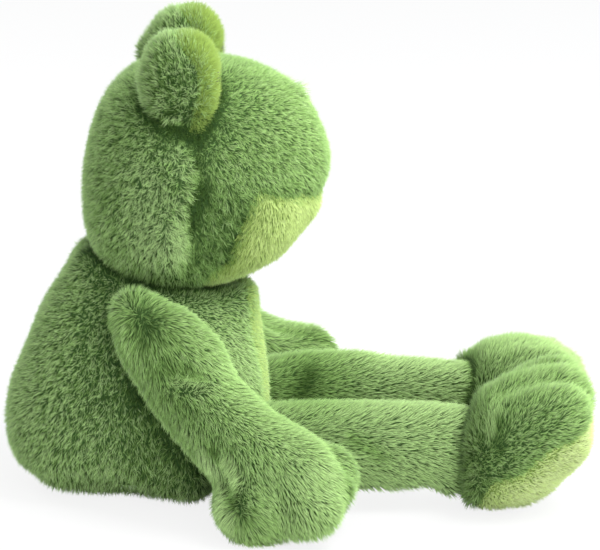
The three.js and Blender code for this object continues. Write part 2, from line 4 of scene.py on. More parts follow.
import bmesh
import bpy
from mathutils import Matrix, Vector
from mathutils.bvhtree import BVHTree
from mathutils.geometry import intersect_point_line
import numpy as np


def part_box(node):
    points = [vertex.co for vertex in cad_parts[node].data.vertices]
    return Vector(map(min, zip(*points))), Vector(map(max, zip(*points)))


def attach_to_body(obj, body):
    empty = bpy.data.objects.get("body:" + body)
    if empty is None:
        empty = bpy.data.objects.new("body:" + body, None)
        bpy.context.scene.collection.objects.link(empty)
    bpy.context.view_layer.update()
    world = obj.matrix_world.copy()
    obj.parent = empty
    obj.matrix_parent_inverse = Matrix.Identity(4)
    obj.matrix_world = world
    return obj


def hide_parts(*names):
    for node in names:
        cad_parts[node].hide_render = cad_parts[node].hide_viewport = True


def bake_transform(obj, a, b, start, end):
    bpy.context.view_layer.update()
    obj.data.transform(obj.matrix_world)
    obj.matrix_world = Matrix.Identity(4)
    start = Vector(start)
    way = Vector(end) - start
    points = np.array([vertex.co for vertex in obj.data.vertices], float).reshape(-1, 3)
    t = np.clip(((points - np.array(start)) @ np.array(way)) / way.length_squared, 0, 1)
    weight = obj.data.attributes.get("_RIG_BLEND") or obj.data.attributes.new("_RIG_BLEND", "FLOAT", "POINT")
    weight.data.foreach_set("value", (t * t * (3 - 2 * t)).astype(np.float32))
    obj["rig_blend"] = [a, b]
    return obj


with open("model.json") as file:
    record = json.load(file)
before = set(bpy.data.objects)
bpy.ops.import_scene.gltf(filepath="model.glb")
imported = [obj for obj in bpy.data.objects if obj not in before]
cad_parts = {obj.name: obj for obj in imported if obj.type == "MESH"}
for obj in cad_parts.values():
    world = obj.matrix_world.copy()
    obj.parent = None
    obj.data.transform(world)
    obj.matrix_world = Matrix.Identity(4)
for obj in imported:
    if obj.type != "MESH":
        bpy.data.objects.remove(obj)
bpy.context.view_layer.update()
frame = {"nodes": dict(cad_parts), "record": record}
scene = bpy.context.scene
mm = 0.001
weld = 0.00001
sides = (("right", -1), ("left", 1))
print("frame loaded")

# Camera: level with the frog's right side, a little from above
camera = {"target": (0, 0.0006, 0.1297), "distance": 2.0, "elevation": 14, "lens": 194.5, "sensor": 36}

cameraData = bpy.data.cameras.new("sideCamera")
cameraData.lens = camera["lens"]
cameraData.sensor_width = camera["sensor"]
cameraData.sensor_fit = "HORIZONTAL"
cameraObject = bpy.data.objects.new("sideCamera", cameraData)
lean = math.radians(camera["elevation"])
look = Vector((math.cos(lean), 0, -math.sin(lean)))
cameraObject.location = Vector(camera["target"]) - look * camera["distance"]
cameraObject.rotation_euler = look.to_track_quat("-Z", "Y").to_euler()
scene.collection.objects.link(cameraObject)
scene.camera = cameraObject
scene.view_settings.view_transform = "Standard"

# Lamps: large soft boxes, brightest above and ahead of the frog
lamps = {
    "topBox": {"at": (-0.5, -0.9, 1.8), "size": 1.0, "power": 38},
    "sideBox": {"at": (-1.9, -0.7, 0.9), "size": 1.4, "power": 22},
    "frontBox": {"at": (0.5, -2.0, 0.9), "size": 1.2, "power": 26},
    "backBox": {"at": (0.9, 1.4, 1.3), "size": 1.2, "power": 14},
}
aim = Vector((0, 0, 0.12))
for name, lamp in lamps.items():
    lampData = bpy.data.lights.new(name, "AREA")
    lampData.size = lamp["size"]
    lampData.energy = lamp["power"]
    lampObject = bpy.data.objects.new(name, lampData)
    lampObject.location = lamp["at"]
    lampObject.rotation_euler = (aim - Vector(lamp["at"])).to_track_quat("-Z", "Y").to_euler()
    scene.collection.objects.link(lampObject)


def addNode(tree, kind, inputs=None, **settings):
    made = tree.nodes.new(kind)
    for key, value in settings.items():
        setattr(made, key, value)
    for key, value in (inputs or {}).items():
        if isinstance(value, bpy.types.NodeSocket):
            tree.links.new(value, made.inputs[key])
        else:
            made.inputs[key].default_value = value
    return made


def newMaterial(name):
    made = bpy.data.materials.new(name)
    made.use_nodes = True
    made.node_tree.nodes.clear()
    return made, made.node_tree


# World: even ambient light, plain white where the camera or a reflection sees it
room = {"ambient": (0.95, 0.98, 1.0, 1), "strength": 0.55}
world = bpy.data.worlds.new("softRoom")
world.use_nodes = True
world.node_tree.nodes.clear()
tree = world.node_tree
rays = addNode(tree, "ShaderNodeLightPath")
seen = rays.outputs["Is Camera Ray"]
for other in ("Is Glossy Ray", "Is Transmission Ray"):
    seen = addNode(tree, "ShaderNodeMath", {0: seen, 1: rays.outputs[other]}, operation="MAXIMUM").outputs[0]
ambient = addNode(tree, "ShaderNodeBackground", {"Color": room["ambient"], "Strength": room["strength"]})
white = addNode(tree, "ShaderNodeBackground", {"Color": (1, 1, 1, 1), "Strength": 1})
mixed = addNode(tree, "ShaderNodeMixShader", {0: seen, 1: ambient.outputs[0], 2: white.outputs[0]})
addNode(tree, "ShaderNodeOutputWorld", {"Surface": mixed.outputs[0]})
scene.world = world

# Floor: plain and pale, it keeps the frog's shadow
floor = {"size": 12, "drop": 0.0005, "colour": (0.86, 0.86, 0.86, 1), "glow": 0.85}
bm = bmesh.new()
bmesh.ops.create_grid(bm, x_segments=1, y_segments=1, size=floor["size"])
floorMesh = bpy.data.meshes.new("floor")
bm.to_mesh(floorMesh)
bm.free()
floorObject = bpy.data.objects.new("floor", floorMesh)
floorObject.location = (0, 0, -floor["drop"])
scene.collection.objects.link(floorObject)
floorMaterial, tree = newMaterial("paleFloor")
rays = addNode(tree, "ShaderNodeLightPath")
share = addNode(tree, "ShaderNodeMath", {0: rays.outputs["Is Camera Ray"], 1: floor["glow"]}, operation="MULTIPLY")
matte = addNode(tree, "ShaderNodeBsdfDiffuse", {"Color": floor["colour"]})
glow = addNode(tree, "ShaderNodeEmission", {"Color": (1, 1, 1, 1), "Strength": 1})
mixed = addNode(tree, "ShaderNodeMixShader", {0: share.outputs[0], 1: matte.outputs[0], 2: glow.outputs[0]})
addNode(tree, "ShaderNodeOutputMaterial", {"Surface": mixed.outputs[0]})
floorMesh.materials.append(floorMaterial)
print("camera, lamps and floor ready")


# Fur material: across the map a tuft goes from dark to light, the dark end carrying painted shade as well as the fur's
# own tone; up the map from root to tip, with painted shade darkening the root
def furMaterial(name, colours):
    made, tree = newMaterial(name)
    place = addNode(tree, "ShaderNodeUVMap", uv_map="OFBake")
    parts = addNode(tree, "ShaderNodeSeparateXYZ", {0: place.outputs[0]})
    ramp = addNode(tree, "ShaderNodeValToRGB", {0: parts.outputs["X"]})
    ramp.color_ramp.elements[0].color = (*colours["dark"], 1)
    ramp.color_ramp.elements[1].color = (*colours["light"], 1)
    ramp.color_ramp.elements.new(0.5).color = (*colours["middle"], 1)
    # Painted shade: each tuft darkens towards its root, as the shade deep in the pile
    depth = addNode(tree, "ShaderNodeMapRange", {
        0: parts.outputs["Y"], 1: 0.0, 2: colours["rootShadeReach"], 3: colours["root"], 4: 1.0,
    })
    shaded = addNode(tree, "ShaderNodeVectorMath", {0: ramp.outputs[0], "Scale": depth.outputs[0]}, operation="SCALE")
    shader = addNode(tree, "ShaderNodeBsdfPrincipled", {
        "Base Color": shaded.outputs[0], "Roughness": 0.85, "Specular IOR Level": 0.15,
        "Sheen Weight": 0.45, "Sheen Roughness": 0.4, "Sheen Tint": (0.8, 1.0, 0.65, 1),
    })
    addNode(tree, "ShaderNodeOutputMaterial", {"Surface": shader.outputs[0]})
    return made


def clothMaterial(name, dark, light, scale):
    made, tree = newMaterial(name)
    place = addNode(tree, "ShaderNodeTexCoord")
    speckle = addNode(tree, "ShaderNodeTexNoise", {"Vector": place.outputs["Object"], "Scale": scale, "Detail": 3})
    ramp = addNode(tree, "ShaderNodeValToRGB", {0: speckle.outputs[0]})
    ramp.color_ramp.elements[0].color = (*dark, 1)
    ramp.color_ramp.elements[1].color = (*light, 1)
    bump = addNode(tree, "ShaderNodeBump", {"Height": speckle.outputs[0], "Strength": 0.4, "Distance": 0.0005})
    shader = addNode(tree, "ShaderNodeBsdfPrincipled", {
        "Base Color": ramp.outputs[0], "Normal": bump.outputs[0], "Roughness": 0.95, "Specular IOR Level": 0.1,
    })
    addNode(tree, "ShaderNodeOutputMaterial", {"Surface": shader.outputs[0]})
    return made


def plasticMaterial(name, colour, roughness, coat):
    made, tree = newMaterial(name)
    place = addNode(tree, "ShaderNodeTexCoord")
    waviness = addNode(tree, "ShaderNodeTexNoise", {"Vector": place.outputs["Object"], "Scale": 160, "Detail": 1})
    bump = addNode(tree, "ShaderNodeBump", {"Height": waviness.outputs[0], "Strength": 0.04, "Distance": 0.0003})
    shader = addNode(tree, "ShaderNodeBsdfPrincipled", {
        "Base Color": (*colour, 1), "Normal": bump.outputs[0], "Roughness": roughness,
        "Coat Weight": coat, "Coat Roughness": 0.03,
    })
    addNode(tree, "ShaderNodeOutputMaterial", {"Surface": shader.outputs[0]})
    return made


# The root share and its reach paint shade on the lower part of each tuft
greenColours = {
    "dark": (0.055, 0.13, 0.018), "middle": (0.335, 0.57, 0.16), "light": (0.59, 0.83, 0.35),
    "root": 0.12, "rootShadeReach": 0.85,
}
limeColours = {
    "dark": (0.29, 0.43, 0.08), "middle": (0.66, 0.85, 0.29), "light": (0.84, 0.95, 0.52),
    "root": 0.5, "rootShadeReach": 0.85,
}
materials = {
    "green_fur": furMaterial("greenPlush", greenColours),
    "lime_fur": furMaterial("limePlush", limeColours),
    # The backing cloths are much darker than their fur: painted shade seen in the gaps between tufts
    "greenBacking": clothMaterial("greenBacking", (0.03, 0.07, 0.02), (0.06, 0.12, 0.035), 900),
    "limeBacking": clothMaterial("limeBacking", (0.12, 0.2, 0.04), (0.22, 0.32, 0.08), 900),
    "stuffing_fibre": clothMaterial("stuffingFibre", (0.7, 0.69, 0.66), (0.9, 0.89, 0.86), 300),
    "pellet_cloth": clothMaterial("pelletCloth", (0.55, 0.52, 0.44), (0.72, 0.69, 0.6), 1400),
    "black_plastic": plasticMaterial("eyePlastic", (0.006, 0.006, 0.007), 0.12, 0.5),
    "washer_plastic": plasticMaterial("washerPlastic", (0.78, 0.78, 0.74), 0.5, 0.0),
}
backings = {"green_fur": "greenBacking", "lime_fur": "limeBacking"}
slotOf = {part["node"]: part["material_slot"] for part in frame["record"]["subparts"]}
for name, cadObject in frame["nodes"].items():
    cadObject.data.materials.clear()
    cadObject.data.materials.append(materials[backings.get(slotOf[name], slotOf[name])])
print("materials ready")


# Forms: a stuffed shape grown from the nodes of one body, rounded and puffed up
def newPiece(name, bm):
    mesh = bpy.data.meshes.new(name)
    bm.to_mesh(mesh)
    bm.free()
    piece = bpy.data.objects.new(name, mesh)
    scene.collection.objects.link(piece)
    return piece


def opened(mesh):
    bm = bmesh.new()
    bm.from_mesh(mesh)
    return bm


def dropFields(piece):  # the panels' fields, not needed on a finished piece
    for name in [a.name for a in piece.data.attributes if a.name.startswith("own_")]:
        piece.data.attributes.remove(piece.data.attributes[name])


def applyModifiers(piece):
    view = bpy.context.evaluated_depsgraph_get()
    mesh = bpy.data.meshes.new_from_object(piece.evaluated_get(view))
    old = piece.data
    piece.modifiers.clear()
    piece.data = mesh
    bpy.data.meshes.remove(old)
    mesh.name = piece.name


def puffUp(piece, cloth):
    start = [v.co.copy() for v in piece.data.vertices]
    stuffing = piece.modifiers.new("stuffing", "CLOTH")
    stuffing.settings.use_pressure = True
    stuffing.settings.uniform_pressure_force = cloth["pressure"]
    stuffing.settings.effector_weights.gravity = 0
    stuffing.settings.quality = 4
    stuffing.point_cache.frame_start = 1
    stuffing.point_cache.frame_end = cloth["frames"]
    for step in range(1, cloth["frames"] + 1):
        scene.frame_set(step)
    grown = piece.evaluated_get(bpy.context.evaluated_depsgraph_get())
    moves = [v.co - was for v, was in zip(grown.data.vertices, start)]
    piece.modifiers.clear()
    scene.frame_set(1)
    for vertex, was, move in zip(piece.data.vertices, start, moves):
        far = move.length
        vertex.co = was + (move * min(1, cloth["most"] * mm / far) if far > 0 else move)


def markWeight(place, mark, reach):  # one at the mark's point or line, fading out over its reach
    if "line" in mark:
        start, end = (Vector(p) * mm for p in mark["line"])
        near, share = intersect_point_line(place, start, end)
        near = start if share < 0 else end if share > 1 else near
    else:
        near = Vector(mark["at"]) * mm
    away = (place - near).length / (reach * mm)
    return math.exp(-away * away)


def press(bm, folds):  # each fold draws the surface in along a line; a bulge has a depth below zero
    bm.normal_update()
    moved = []
    for vertex in bm.verts:
        total = sum(fold["depth"] * mm * markWeight(vertex.co, fold, fold["width"]) for fold in folds)
        moved.append(vertex.co - vertex.normal * total)
    for vertex, place in zip(bm.verts, moved):
        vertex.co = place


def coreOf(names):  # the solids of these nodes, joined where their corners meet
    bm = bmesh.new()
    for name in names:
        bm.from_mesh(frame["nodes"][name].data)
    bmesh.ops.remove_doubles(bm, verts=bm.verts, dist=weld)
    return bm


def treeOf(bm):
    tree = BVHTree.FromBMesh(bm)
    bm.free()
    return tree


def addSunken(bm, sink):  # a smaller copy, set deeper, so that the form runs on into its neighbour
    copied = bmesh.ops.duplicate(bm, geom=bm.verts[:] + bm.edges[:] + bm.faces[:])["geom"]
    lower = [v for v in copied if isinstance(v, bmesh.types.BMVert)]
    middle = sum((v.co for v in lower), Vector()) / len(lower)
    bmesh.ops.translate(bm, verts=lower, vec=-middle)
    bmesh.ops.scale(bm, verts=lower, vec=(sink["scale"],) * 3)
    bmesh.ops.translate(bm, verts=lower, vec=middle + Vector(sink["by"]) * mm)


def keepHull(bm):  # only the convex outside stays
    hull = bmesh.ops.convex_hull(bm, input=bm.verts)
    bmesh.ops.delete(bm, geom=list(set(hull["geom_interior"] + hull["geom_unused"])), context="VERTS")
    kept = set(hull["geom"])
    bmesh.ops.delete(bm, geom=[f for f in bm.faces if f not in kept], context="FACES")


def soften(bm):
    bmesh.ops.smooth_vert(bm, verts=bm.verts, factor=0.5, use_axis_x=True, use_axis_y=True, use_axis_z=True)


def panelFields(bm, form):  # how far past each panel's seam every point lies, below zero on the panel itself
    panels = form["panels"]
    shift = form.get("shift", {})
    trees = {panel: treeOf(coreOf([panel])) for panel in panels}
    fields = {panel: [] for panel in panels}
    for vertex in bm.verts:
        # Moved out a little, so that the outermost panel is the nearest
        outside = vertex.co + vertex.normal * form.get("probe", 0) * mm
        away = {panel: trees[panel].find_nearest(outside)[3] + shift.get(panel, 0) * mm for panel in panels}
        for panel in panels:
            others = [away[other] for other in panels if other != panel]
            fields[panel].append(away[panel] - min(others) if others else -1)
    return fields


def makeForm(name, form):
    bm = coreOf(form["nodes"])
    if "sink" in form:
        addSunken(bm, form["sink"])
    if form.get("hull"):
        keepHull(bm)
    piece = newPiece(name, bm)
    remesh = piece.modifiers.new("even", "REMESH")
    remesh.mode = "VOXEL"
    remesh.voxel_size = form["voxel"] * mm
    applyModifiers(piece)
    bm = opened(piece.data)
    outer = max(islandsOf(bm), key=sizeOf)
    bmesh.ops.delete(bm, geom=[v for v in bm.verts if v not in outer], context="VERTS")
    for _ in range(form["rounding"]):
        soften(bm)
    bm.to_mesh(piece.data)
    bm.free()
    puffUp(piece, form["cloth"])
    bm = opened(piece.data)
    press(bm, form["folds"])
    bm.normal_update()
    fields = panelFields(bm, form)
    groove = form["groove"]
    for i, vertex in enumerate(bm.verts):
        near = min(abs(field[i]) for field in fields.values()) / (groove["width"] * mm)
        vertex.co -= vertex.normal * (groove["depth"] * math.exp(-near * near) + form["inset"]) * mm
    soften(bm)
    for vertex in bm.verts:
        vertex.co.z = max(vertex.co.z, form.get("floor", lowest) * mm)
    bm.to_mesh(piece.data)
    bm.free()
    for panel, field in fields.items():
        own = piece.data.attributes.new("own_" + panel, "FLOAT", "POINT")
        own.data.foreach_set("value", field)
    return piece


def islandsOf(bm):
    left = set(bm.verts)
    islands = []
    while left:
        island = set()
        todo = [left.pop()]
        while todo:
            vertex = todo.pop()
            island.add(vertex)
            for edge in vertex.link_edges:
                other = edge.other_vert(vertex)
                if other in left:
                    left.discard(other)
                    todo.append(other)
        islands.append(island)
    return islands


def sizeOf(island):
    places = [v.co for v in island]
    return sum(max(p[k] for p in places) - min(p[k] for p in places) for k in range(3))


# One panel of a form, with a margin past its seam
def panelMesh(name, form, panel, margin):
    bm = opened(form.data)
    own = bm.verts.layers.float["own_" + panel]
    outside = [f for f in bm.faces if sum(v[own] for v in f.verts) / len(f.verts) > margin * mm]
    bmesh.ops.delete(bm, geom=outside, context="FACES")
    return newPiece(name, bm)


def isInside(tree, place):
    past = Vector((0, 0, 2 * weld))
    hits = 0
    start = place
    while start is not None:
        start = tree.ray_cast(start, Vector((0, 0, 1)))[0]
        if start is not None:
            hits += 1
            start = start + past
    return hits % 2 == 1


# Pile, in mm and shares: shorter and darker at a seam and where another form touches it, painted shade in the crease
# and the gap, none where it is buried in that form, and thinner on the underside
pile = {
    "seamReach": 2.5, "seamShade": 0.25, "touchReach": 4.5, "touchCut": 1.4, "buried": 9,
    "under": -0.75, "underCover": 0.5,
}


def spotsOn(form, surface):  # the spots, drawn on the form itself
    spots = []
    for spot in form.get("spots", []):
        ends = [surface.find_nearest(Vector(p) * mm)[0] / mm for p in spot.get("line", [spot.get("at")])]
        spots.append({**spot, "line": [ends[0], ends[-1]]} if "line" in spot else {**spot, "at": ends[0]})
    return spots


def coverAt(vertex, form):  # the share of the pile that grows here
    bare = form.get("bare")
    if bare:
        out = vertex.co - Vector(bare["at"]) * mm
        if math.hypot(out.x, out.z) < bare["reach"] * mm and out.y < bare["depth"] * mm:
            return 0
    return pile["underCover"] if vertex.normal.z < pile["under"] else 1


def layFur(piece, panel, fur, form, touching, surface):
    mesh = piece.data
    mesh.update()
    spots = spotsOn(form, surface)
    combs = []
    values = {"furLength": [], "furShade": [], "cover": [], "rough": []}
    own = mesh.attributes["own_" + panel].data
    for vertex in mesh.vertices:
        normal = vertex.normal
        nearSeam = math.exp(-((own[vertex.index].value / (pile["seamReach"] * mm)) ** 2))
        comb = Vector(fur["comb"])
        for whorl in fur.get("whorls", []):
            out = vertex.co - Vector(whorl["at"]) * mm
            comb += out.normalized() * whorl["pull"] * math.exp(-((out.length / (whorl["reach"] * mm)) ** 2))
        length = fur["length"]
        shade = fur.get("shade", 0)
        rough = 1
        # A spot's shade paints light and shade onto the pile's tone
        for spot in spots:
            weight = markWeight(vertex.co, spot, spot["reach"])
            shade += spot.get("shade", 0) * weight
            length += spot.get("length", 0) * weight
            rough += spot.get("rough", 0) * weight
            comb += Vector(spot.get("comb", (0, 0, 0))) * weight
        comb -= normal * comb.dot(normal)
        cover = coverAt(vertex, form)
        # Painted shade where another form touches this one, as its shadow in the gap between them
        contact = dark = 0
        for other, touchShade in touching:
            away = other.find_nearest(vertex.co)[3]
            touch = math.exp(-((away / (pile["touchReach"] * mm)) ** 2))
            contact = max(contact, touch)
            dark = max(dark, touchShade * touch)
            if away > pile["buried"] * mm and isInside(other, vertex.co):
                cover = 0
        combs.extend(comb * fur["lean"])
        values["rough"].append(max(rough, 0))
        values["cover"].append(cover)
        values["furLength"].append((length - nearSeam - pile["touchCut"] * contact) * mm)
        # The seam's and the touching forms' painted shade lower the tone
        values["furShade"].append(shade - pile["seamShade"] * nearSeam - dark)
    mesh.attributes.new("comb", "FLOAT_VECTOR", "POINT").data.foreach_set("vector", combs)
    for name, listed in values.items():
        mesh.attributes.new(name, "FLOAT", "POINT").data.foreach_set("value", listed)
    scatter = piece.modifiers.new("fur", "NODES")
    scatter.node_group = furGroup(piece.name, "own_" + panel, fur)
    applyModifiers(piece)
    for name in ("comb", *values, "shade", "skinNormal", "own_" + panel):
        if name in piece.data.attributes:
            piece.data.attributes.remove(piece.data.attributes[name])


# A tuft is a slim three-sided spike, mapped from root to tip
def makeTuft():
    bm = bmesh.new()
    bmesh.ops.create_cone(bm, segments=3, radius1=0.5, radius2=0, depth=1, cap_ends=True)
    bmesh.ops.remove_doubles(bm, verts=bm.verts, dist=0.0001)
    bmesh.ops.translate(bm, verts=bm.verts, vec=(0, 0, 0.5))
    bmesh.ops.scale(bm, verts=bm.verts, vec=(1, 0.6, 1))
    layer = bm.loops.layers.uv.new("OFBake")
    for face in bm.faces:
        for loop in face.loops:
            loop[layer].uv = (0.5 + 0.5 * loop.vert.co.x, loop.vert.co.z)
    mesh = bpy.data.meshes.new("tuft")
    bm.to_mesh(mesh)
    bm.free()
    return bpy.data.objects.new("tuft", mesh)


tuft = makeTuft()
seeds = iter(range(11, 200))  # a new one for each panel
perSquareMetre = 1000000.0

# Tufts of every pile: shares of their length, shares of the ramp they use, and their gap to the floor in metres
tufts = {"low": 0.7, "high": 1.15, "least": 0.4, "darkest": 0.04, "lightest": 0.88, "gap": 0.0002}


def furGroup(name, own, fur):
    group = bpy.data.node_groups.new(name, "GeometryNodeTree")
    group.interface.new_socket("Geometry", in_out="INPUT", socket_type="NodeSocketGeometry")
    group.interface.new_socket("Geometry", in_out="OUTPUT", socket_type="NodeSocketGeometry")
    seed = next(seeds)

    def attribute(label, kind="FLOAT"):
        return addNode(group, "GeometryNodeInputNamedAttribute", {"Name": label}, data_type=kind).outputs[0]

    def calc(operation, *values):
        return addNode(group, "ShaderNodeMath", dict(enumerate(values)), operation=operation).outputs[0]

    def vectorCalc(operation, *values):
        return addNode(group, "ShaderNodeVectorMath", dict(enumerate(values)), operation=operation).outputs[0]

    def scaled(vector, factor):
        return addNode(group, "ShaderNodeVectorMath", {0: vector, "Scale": factor}, operation="SCALE").outputs[0]

    def combine(x, y, z):
        return addNode(group, "ShaderNodeCombineXYZ", {0: x, 1: y, 2: z}).outputs[0]

    def noise(scale, detail):
        return addNode(group, "ShaderNodeTexNoise", {"Vector": place, "Scale": scale, "Detail": detail}).outputs

    def chance(low, high, offset):
        made = addNode(group, "FunctionNodeRandomValue", {2: low, 3: high, "Seed": seed + offset}, data_type="FLOAT")
        return made.outputs[1]

    def store(geometry, label, value, kind, domain="POINT"):
        made = addNode(group, "GeometryNodeStoreNamedAttribute", {"Geometry": geometry, "Name": label, "Value": value},
                       data_type=kind, domain=domain)
        return made.outputs[0]

    # Roots: scattered over the panel, thinned out past its seam
    start = addNode(group, "NodeGroupInput")
    place = addNode(group, "GeometryNodeInputPosition").outputs[0]
    rough = attribute("rough")
    density = calc("MULTIPLY", attribute("cover"), fur["density"] * perSquareMetre)
    points = addNode(group, "GeometryNodeDistributePointsOnFaces", {
        "Mesh": start.outputs[0], "Density": density, "Seed": seed,
    })
    fringe = chance(0.0, fur["fringe"] * mm, 4)
    outside = addNode(group, "FunctionNodeCompare", {0: attribute(own), 1: fringe}, operation="GREATER_THAN").outputs[0]
    kept = addNode(group, "GeometryNodeDeleteGeometry", {"Geometry": points.outputs[0], "Selection": outside})

    # Lean: combed, swayed in clumps and in fine locks, and a little loose
    way = vectorCalc("ADD", points.outputs["Normal"], attribute("comb", "FLOAT_VECTOR"))
    for scale, detail, strength in ((fur["clumpScale"], 1.0, fur["clump"]), (fur["fineScale"], 0.0, fur["fine"])):
        sway = vectorCalc("SUBTRACT", noise(scale, detail)["Color"], (0.5, 0.5, 0.5))
        way = vectorCalc("ADD", way, scaled(sway, calc("MULTIPLY", rough, strength)))
    loose = addNode(group, "FunctionNodeRandomValue", {0: (-1, -1, -1), 1: (1, 1, 1), "Seed": seed + 1},
                    data_type="FLOAT_VECTOR")
    way = vectorCalc("ADD", way, scaled(loose.outputs[0], fur["loose"]))
    turn = addNode(group, "FunctionNodeAlignRotationToVector", {"Vector": way}, axis="Z").outputs[0]

    # Size and shade: both vary tuft by tuft and in patches; a patch's shorter tufts are also darker, partly the fur's
    # own uneven tone and partly painted shade between the locks
    patch = calc("MULTIPLY", calc("SUBTRACT", noise(fur["patchScale"], 2.0)[0], 0.5), rough)
    growth = calc("ADD", chance(tufts["low"], tufts["high"], 2), calc("MULTIPLY", patch, fur["relief"] * fur["patch"]))
    height = calc("MULTIPLY", calc("MAXIMUM", growth, tufts["least"]), attribute("furLength"))
    size = combine(fur["width"] * mm, fur["width"] * mm, height)
    shade = calc("ADD", attribute("furShade"), calc("MULTIPLY", chance(-0.5, 0.5, 3), fur["mottle"]))
    shade = calc("ADD", shade, calc("MULTIPLY", patch, fur["patch"]))
    shade = calc("ADD", shade, 0.5)
    shade = calc("MAXIMUM", calc("MINIMUM", shade, tufts["lightest"]), tufts["darkest"])

    # Tufts: planted, mapped by shade and height, kept above the floor, lit softly with the skin
    toned = store(kept.outputs[0], "shade", shade, "FLOAT")
    toned = store(toned, "skinNormal", points.outputs["Normal"], "FLOAT_VECTOR")
    spike = addNode(group, "GeometryNodeObjectInfo", {"Object": tuft, "As Instance": True})
    planted = addNode(group, "GeometryNodeInstanceOnPoints", {
        "Points": toned, "Instance": spike.outputs["Geometry"], "Rotation": turn, "Scale": size,
    })
    whole = addNode(group, "GeometryNodeRealizeInstances", {"Geometry": planted.outputs[0]})
    mapped = addNode(group, "ShaderNodeSeparateXYZ", {0: attribute("OFBake", "FLOAT_VECTOR")}).outputs
    strand = calc("MULTIPLY", calc("SUBTRACT", mapped[0], 0.5), fur["strand"])
    stored = store(whole.outputs[0], "OFBake", combine(calc("ADD", attribute("shade"), strand), mapped[1], 0.0),
                   "FLOAT2", "CORNER")
    parts = addNode(group, "ShaderNodeSeparateXYZ", {0: place}).outputs
    raised = combine(parts[0], parts[1], calc("MAXIMUM", parts[2], tufts["gap"]))
    settled = addNode(group, "GeometryNodeSetPosition", {"Geometry": stored, "Position": raised})
    flat = addNode(group, "GeometryNodeInputNormal").outputs[0]
    soft = vectorCalc("ADD", flat, scaled(attribute("skinNormal", "FLOAT_VECTOR"), fur["soft"]))
    softened = addNode(group, "GeometryNodeSetMeshNormal", {
        "Mesh": settled.outputs[0], "Custom Normal": vectorCalc("NORMALIZE", soft),
    }, mode="FREE", domain="CORNER")
    finished = addNode(group, "GeometryNodeSetMaterial", {
        "Geometry": softened.outputs[0], "Material": materials[fur["slot"]],
    })
    addNode(group, "NodeGroupOutput", {0: finished.outputs[0]})
    return group


# Piles: lengths in mm, densities in tufts per square mm. A pile's shade moves its whole panel along the ramp, partly
# the panel's own tone and partly painted light, so some panels look lit more brightly
short = {
    "length": 4.6, "lean": 0.45, "width": 0.68, "density": 1.4, "comb": (0, 0, -1), "loose": 0.25, "soft": 2.5,
    "clump": 2.6, "clumpScale": 200.0, "fine": 2.6, "fineScale": 700.0, "mottle": 0.4, "strand": 0.8,
    "patch": 2.0, "patchScale": 400.0, "relief": 0.5, "fringe": 0,
}
combed = {
    **short, "length": 6.0, "lean": 1.2, "width": 0.72, "loose": 0.14, "clump": 1.3, "fine": 1.2,
    "mottle": 0.25, "strand": 0.6, "patch": 0.8,
}
smooth = {
    **short, "slot": "lime_fur", "length": 3.8, "clump": 1.2, "fine": 1.5, "mottle": 0.2, "strand": 0.5, "patch": 0.6,
}
headPile = {
    **short, "slot": "green_fur", "width": 0.62, "density": 1.6, "patch": 2.0, "patchScale": 320.0, "shade": 0.1,
}
backPile = {
    **short, "slot": "green_fur", "density": 1.2, "width": 0.7, "lean": 0.65, "clump": 1.9, "fine": 2.3,
    "patch": 2.8, "patchScale": 340.0, "mottle": 0.75, "shade": 0.16, "fringe": 5,
}
puff = {"pressure": 4, "frames": 20, "most": 2.0}
seam = {"depth": 1.6, "width": 3.0}
lowest = 0.4  # the forms' gap to the floor, in mm


def named(stem, side):
    return f"{stem}_{side}"


def mirrored(place):
    return (-place[0], *place[1:])


def flipped(marks):  # the same folds or spots on the frog's other side
    made = []
    for mark in marks:
        if "line" in mark:
            made.append({**mark, "line": [mirrored(p) for p in mark["line"]]})
        else:
            made.append({**mark, "at": mirrored(mark["at"])})
    return made


# Folds press the surface in, spots change the pile: places in mm, the limbs' on the right side. A spot's shade is
# painted light: darker in creases, recesses and where parts meet, lighter on lit tufts and sides
headFolds = [
    {"line": [(-66, 67, 230), (-68, 65, 215)], "depth": 4, "width": 3.5},
    {"line": [(-68, 65, 214), (-70, 59, 200)], "depth": 6, "width": 3.5},
    {"line": [(-70, 60, 198), (-69, 66, 189)], "depth": 8, "width": 4},
    {"line": [(-69, 66, 188), (-68, 68, 176)], "depth": 7, "width": 4},
    {"line": [(-68, 68, 176), (-56, 66, 154)], "depth": 7, "width": 5},
    {"line": [(-66, 46, 178), (-56, 50, 150)], "depth": 6, "width": 14},
    {"line": [(-71, 80, 174), (-60, 79, 156)], "depth": -6.5, "width": 11},
    {"line": [(-71, 77, 212), (-72, 73, 200)], "depth": -2, "width": 9},
    {"line": [(-62, 50, 234), (-66, 72, 230)], "depth": 3, "width": 7},
    {"line": [(-50, 98, 164), (-40, 112, 168)], "depth": -3, "width": 18},
    {"line": [(-62, 22, 196), (-40, -6, 189)], "depth": 2.5, "width": 4},
]
headMiddle = [
    {"line": [(-20, -14, 203), (20, -14, 203)], "depth": -3.5, "width": 18},
    {"line": [(-15, -10, 174), (15, -10, 174)], "depth": -4, "width": 11},
    {"line": [(-30, 118, 250), (30, 118, 250)], "depth": 0.8, "width": 18},
]
